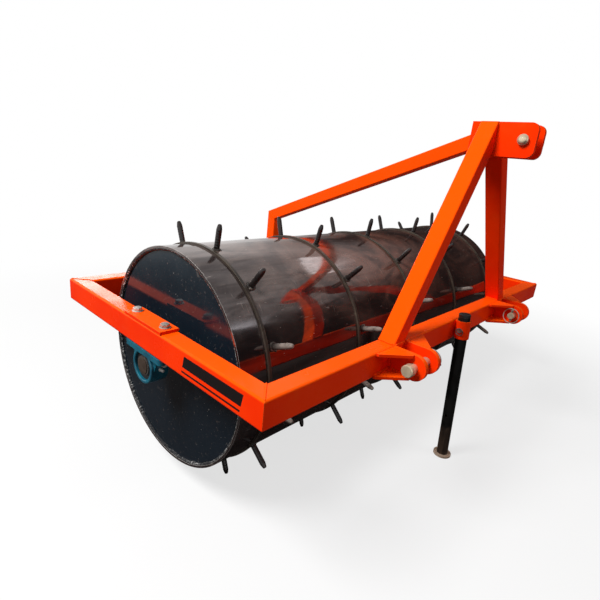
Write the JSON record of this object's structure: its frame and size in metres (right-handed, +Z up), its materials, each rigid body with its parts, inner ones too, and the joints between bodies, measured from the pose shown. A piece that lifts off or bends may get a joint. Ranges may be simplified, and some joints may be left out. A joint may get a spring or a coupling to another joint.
{
  "type": "spiked land roller for a tractor's three-point hitch",
  "caption": "Spiked aerator roller: steel drum with rings of round spikes in a box-tube frame, three-point headstock, rear brace and drop-down parking leg.",
  "frame": {"origin": "on the floor under the middle of the whole machine, which stands on its lowest spikes and its parking leg", "axes": "+X along the drum, +Y rearward from the tractor, +Z up"},
  "size_m": [2, 1.194, 1.2542],
  "materials": {
    "frame_paint": "gloss",
    "drum_paint": "gloss",
    "band_steel": "satin",
    "spike_steel": "satin",
    "bearing_paint": "satin",
    "bare_steel": "satin",
    "zinc_steel": "satin",
    "stand_paint": "satin",
    "black_plastic": "matte"
  },
  "bodies": {
    "frame": {"front_beam": "frame_paint", "rear_beam": "frame_paint", "side_beam_left": "frame_paint", "side_beam_right": "frame_paint", "cap_plate_left": "frame_paint", "cap_plate_right": "frame_paint", "bearing_housing_left": "bearing_paint", "bearing_housing_right": "bearing_paint", "mast_leg_left": "frame_paint", "mast_leg_right": "frame_paint", "top_lug_left": "frame_paint", "top_lug_right": "frame_paint", "top_pin": "zinc_steel", "top_brace": "frame_paint", "brace_post": "frame_paint", "lower_lugs_left": "frame_paint", "lower_lugs_right": "frame_paint", "lower_gussets_left": "frame_paint", "lower_gussets_right": "frame_paint", "lower_pin_left": "zinc_steel", "lower_pin_right": "zinc_steel", "stand_socket": "frame_paint", "stand_pin": "zinc_steel"},
    "drum": {"drum_shell": "drum_paint", "drum_end_left": "drum_paint", "drum_end_right": "drum_paint", "axle_stub_left": "bare_steel", "axle_stub_right": "bare_steel", "bearing_ring_left": "bare_steel", "bearing_ring_right": "bare_steel", "drum_band_1": "band_steel", "drum_band_2": "band_steel", "drum_band_3": "band_steel", "drum_band_4": "band_steel", "drum_band_5": "band_steel", "spike_ring_1": "spike_steel", "spike_ring_2": "spike_steel", "spike_ring_3": "spike_steel", "spike_ring_4": "spike_steel", "spike_ring_5": "spike_steel"},
    "parking_leg": {"stand_leg": "stand_paint", "stand_foot": "stand_paint", "stand_cap": "black_plastic"}
  },
  "joints": [
    {"name": "drum_spin", "type": "hinge", "parent": "frame", "child": "drum", "pos_m": [0, 0.062, 0.43196], "axis": [1, 0, 0], "continuous": true},
    {"name": "parking_leg_slide", "type": "slide", "parent": "frame", "child": "parking_leg", "axis": [0, 0.0593, 0.9982], "range_m": [0, 0.355]}
  ]
}
